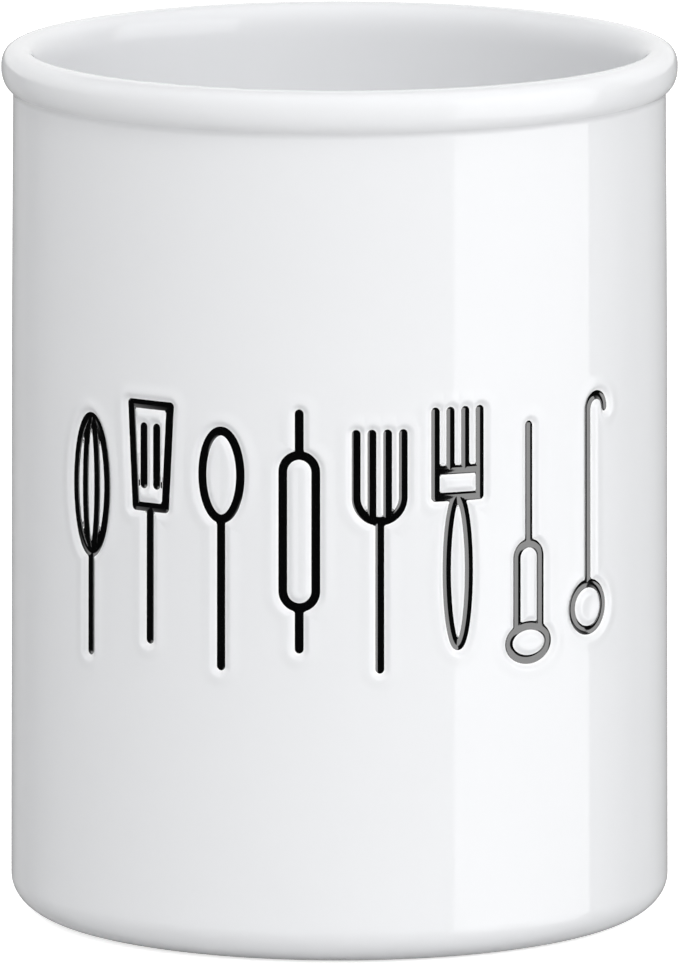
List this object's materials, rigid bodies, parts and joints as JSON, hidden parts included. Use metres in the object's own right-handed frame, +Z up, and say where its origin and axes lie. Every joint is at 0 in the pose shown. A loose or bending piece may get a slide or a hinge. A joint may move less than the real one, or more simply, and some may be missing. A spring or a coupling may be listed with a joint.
{
  "type": "utensil crock",
  "caption": "Open round stoneware crock for kitchen utensils, with a rolled rim, a rolled-under base edge and a row of pressed utensil figures filled with black glaze.",
  "frame": {"origin": "centre of the circle that the crock stands on, on the counter", "axes": "+Z up along the crock's axis, the front with the pressed figures towards -Y, +X to the right seen from the front"},
  "size_m": [0.1274, 0.1274, 0.165],
  "materials": {
    "white_glaze": "high gloss white glaze, bare clay on the foot ring",
    "black_glaze": "high gloss black glaze"
  },
  "bodies": {
    "root": {"crock_body": "white_glaze", "whisk_inlay": "black_glaze", "turner_inlay": "black_glaze", "spoon_inlay": "black_glaze", "rolling_pin_inlay": "black_glaze", "fork_inlay": "black_glaze", "pastry_brush_inlay": "black_glaze", "masher_inlay": "black_glaze", "ladle_inlay": "black_glaze"}
  },
  "joints": []
}
